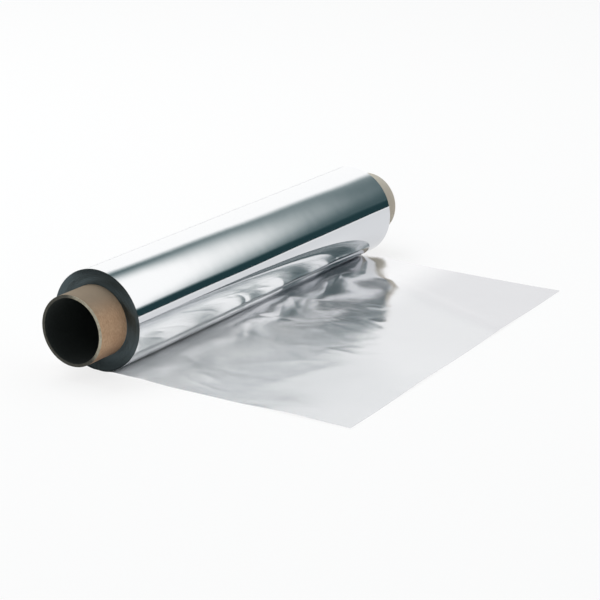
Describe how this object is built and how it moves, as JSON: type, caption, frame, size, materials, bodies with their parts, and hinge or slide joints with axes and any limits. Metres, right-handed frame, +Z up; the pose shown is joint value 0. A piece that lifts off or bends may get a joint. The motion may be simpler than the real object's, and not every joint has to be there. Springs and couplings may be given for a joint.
{
  "type": "aluminium foil roll",
  "caption": "Kitchen foil wound in a spiral on a projecting cardboard core, lying on its side with a creased sheet pulled off flat along the table.",
  "frame": {"origin": "on the table under the roll's axis, in the middle of the foil's flat spot, halfway along the foil's width", "axes": "+Y along the roll to its far end, +X the way the sheet is pulled off, +Z up"},
  "size_m": [0.2086, 0.349, 0.0644],
  "materials": {
    "foil": "bright mirror-rolled foil, creased where it is pulled off",
    "core_cardboard": "matt spiral-wound kraft board with grey cut ends"
  },
  "bodies": {
    "root": {"foil": "foil", "core_tube": "core_cardboard"}
  },
  "joints": []
}
